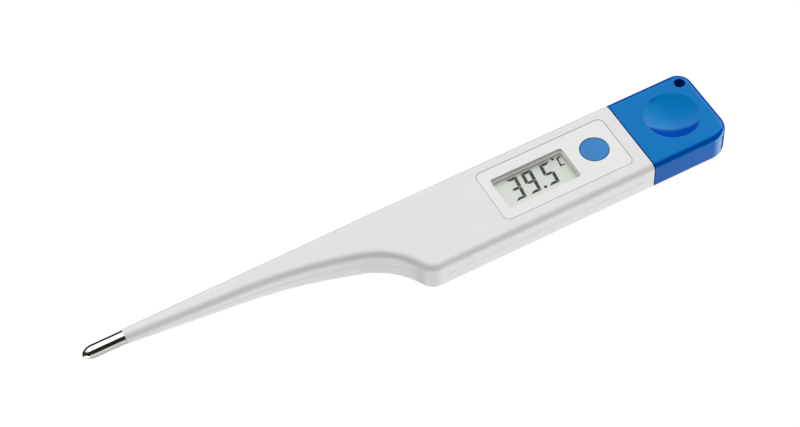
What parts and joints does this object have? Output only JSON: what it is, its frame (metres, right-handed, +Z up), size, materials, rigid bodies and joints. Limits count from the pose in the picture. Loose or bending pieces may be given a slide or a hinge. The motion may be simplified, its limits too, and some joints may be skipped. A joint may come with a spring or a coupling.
{
  "type": "digital clinical thermometer",
  "caption": "Pen-shaped digital thermometer with a tapering stem, metal sensing tip, inlaid display panel, round push button and a pull-off battery cap with a lanyard hole.",
  "frame": {"origin": "middle of the outer box in plan, on the resting face", "axes": "+X along the length from the metal tip to the battery cap, +Y to the straight long side, +Z up out of the display"},
  "size_m": [0.14, 0.0194, 0.0072],
  "materials": {
    "case_white": "satin",
    "panel_white": "gloss",
    "clear_lens": "gloss",
    "lcd_glass": "gloss",
    "foil": "satin",
    "zebra_rubber": "matte",
    "frame_white": "matte",
    "board_green": "satin",
    "epoxy_black": "satin",
    "chip_grey": "matte",
    "button_blue": "satin",
    "spring_steel": "satin",
    "battery_steel": "satin",
    "carrier_grey": "matte",
    "seal_rubber": "matte",
    "cap_blue": "satin",
    "tip_steel": "gloss",
    "sensor_bead": "satin",
    "lead_enamel": "satin",
    "potting_grey": "satin",
    "buzzer_brass": "satin",
    "buzzer_ceramic": "matte",
    "wire_black": "satin",
    "wire_red": "satin"
  },
  "bodies": {
    "case": {"upper_case": "case_white", "lower_case": "case_white", "display_panel": "panel_white", "display_lens": "clear_lens", "lcd_cell": "lcd_glass", "lcd_reflector": "foil", "zebra_strip": "zebra_rubber", "lcd_frame": "frame_white", "circuit_board": "board_green", "controller_blob": "epoxy_black", "chip_parts": "chip_grey", "snap_dome": "spring_steel", "battery": "battery_steel", "battery_contact_negative": "spring_steel", "battery_contact_positive": "spring_steel", "battery_carrier": "carrier_grey", "cap_seal": "seal_rubber", "tip_cap": "tip_steel", "thermistor": "sensor_bead", "thermistor_lead_near": "lead_enamel", "thermistor_lead_far": "lead_enamel", "tip_potting": "potting_grey", "buzzer_plate": "buzzer_brass", "buzzer_ceramic": "buzzer_ceramic", "buzzer_wire_plate": "wire_black", "buzzer_wire_ceramic": "wire_red"},
    "button": {"power_button": "button_blue"},
    "cap": {"battery_cap": "cap_blue"}
  },
  "joints": [
    {"name": "power_button_press", "type": "slide", "parent": "case", "child": "button", "axis": [0, 0, -1], "range_m": [0, 0.00035], "stiffness_N_per_m": 3000, "deforming": ["snap_dome"]},
    {"name": "battery_cap_pull", "type": "slide", "parent": "case", "child": "cap", "axis": [1, 0, 0], "range_m": [0, 0.016]}
  ]
}
